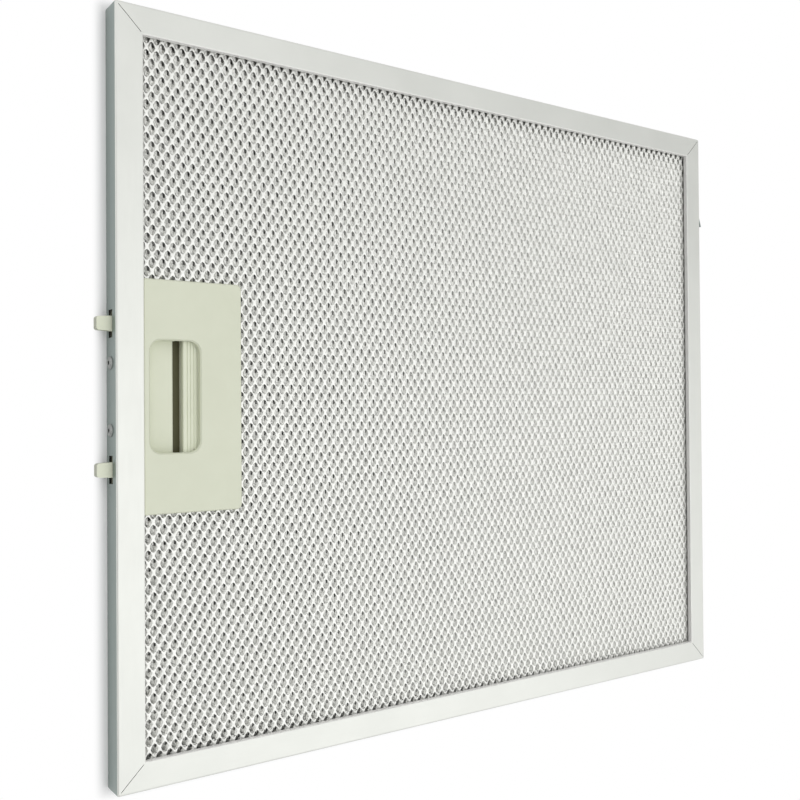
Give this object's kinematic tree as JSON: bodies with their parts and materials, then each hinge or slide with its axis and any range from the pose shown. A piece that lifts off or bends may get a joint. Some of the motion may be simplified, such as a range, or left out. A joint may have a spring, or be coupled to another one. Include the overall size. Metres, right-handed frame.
{
  "type": "cooker hood grease filter",
  "caption": "Flat metal grease filter for a cooker hood: folded aluminium frame, stacked expanded mesh and a plastic handle with a sprung latch.",
  "frame": {"origin": "middle of the rear face, on the plane that the filter lies on", "axes": "+X along the width, away from the handle; +Y along the height; +Z out of the front face"},
  "size_m": [0.3154, 0.267, 0.01],
  "materials": {
    "frame_aluminium": "satin, pale",
    "mesh_aluminium": "bright, drawn strands",
    "foil_aluminium": "bright foil",
    "ivory_plastic": "fine matt",
    "latch_plastic": "fine matt",
    "spring_steel": "blank spring strip",
    "rivet_aluminium": "blank"
  },
  "bodies": {
    "filter": {"frame": "frame_aluminium", "front_mesh": "mesh_aluminium", "inner_mesh_1": "foil_aluminium", "inner_mesh_2": "foil_aluminium", "inner_mesh_3": "foil_aluminium", "inner_mesh_4": "foil_aluminium", "inner_mesh_5": "foil_aluminium", "rear_mesh": "mesh_aluminium", "handle_housing": "ivory_plastic", "handle_base": "ivory_plastic", "return_spring": "spring_steel", "handle_rivets": "rivet_aluminium"},
    "latch": {"latch_slider": "latch_plastic"}
  },
  "joints": [
    {"name": "latch_slide", "type": "slide", "parent": "filter", "child": "latch", "axis": [1, 0, 0], "range_m": [0, 0.006], "stiffness_N_per_m": 400, "springref_m": -0.008, "deforming": ["return_spring"]}
  ]
}
